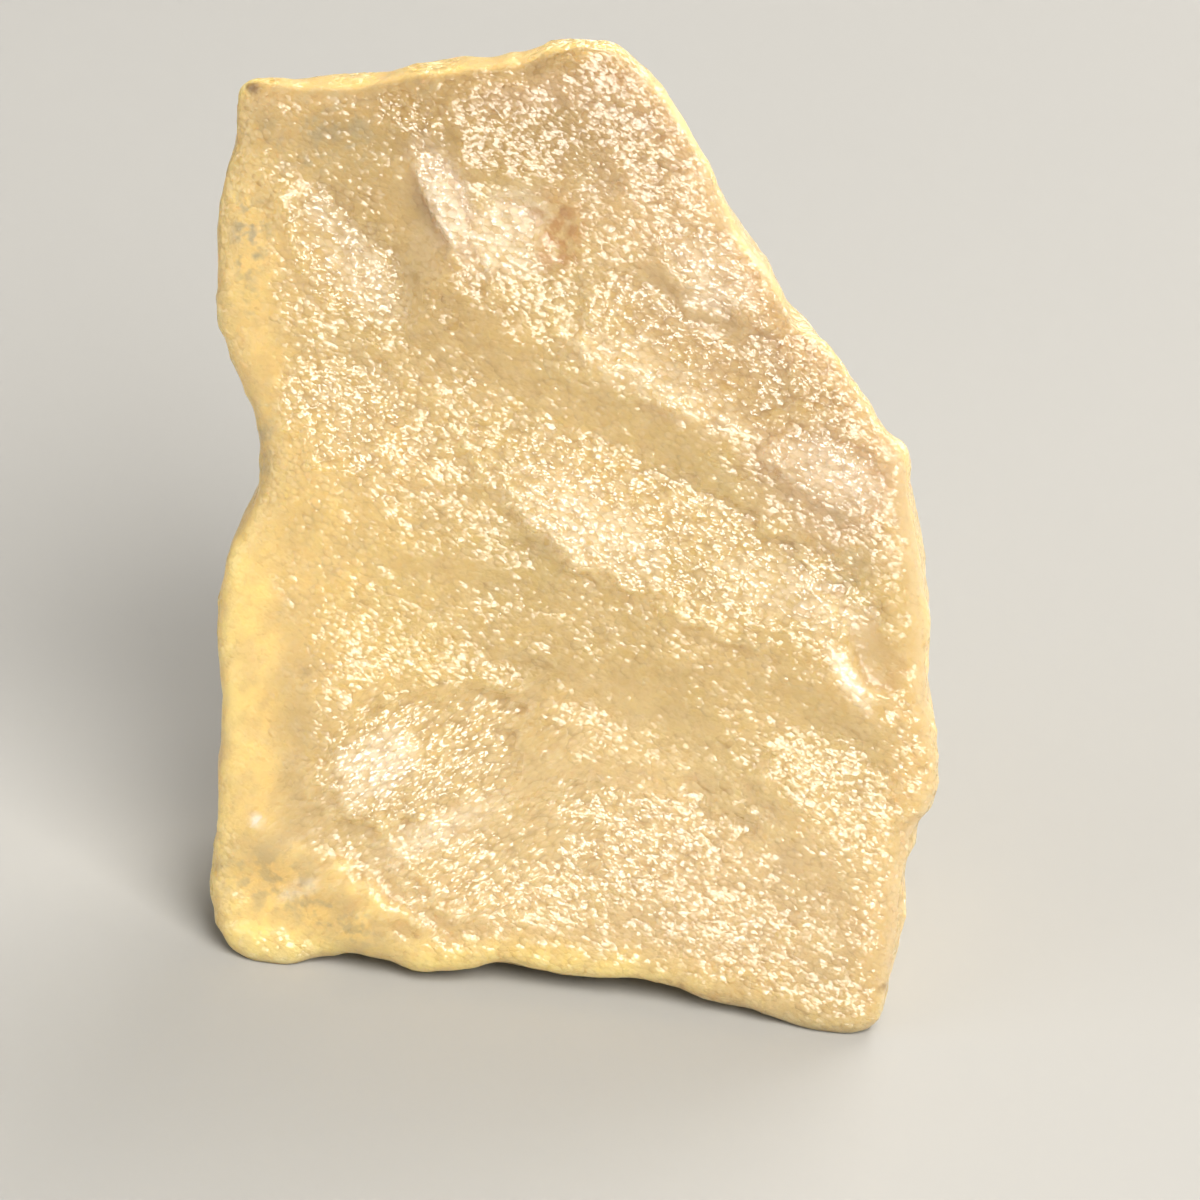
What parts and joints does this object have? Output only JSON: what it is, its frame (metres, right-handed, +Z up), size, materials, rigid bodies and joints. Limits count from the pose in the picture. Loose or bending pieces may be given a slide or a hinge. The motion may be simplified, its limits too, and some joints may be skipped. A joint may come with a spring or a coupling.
{
  "type": "desert glass stone",
  "caption": "Wedge-shaped piece of pale yellow desert glass with a worn, rippled surface, standing on its thick lower edge.",
  "frame": {"origin": "on the ground under the middle of the stone's bounding box", "axes": "+Z up, along the stone's height; the broad front faces -Y and leans back; +X is to the right of someone who looks at the front"},
  "size_m": [0.0421, 0.0216, 0.0489],
  "materials": {
    "desert_glass": "satin"
  },
  "bodies": {
    "root": {"desert_glass": "desert_glass"}
  },
  "joints": []
}
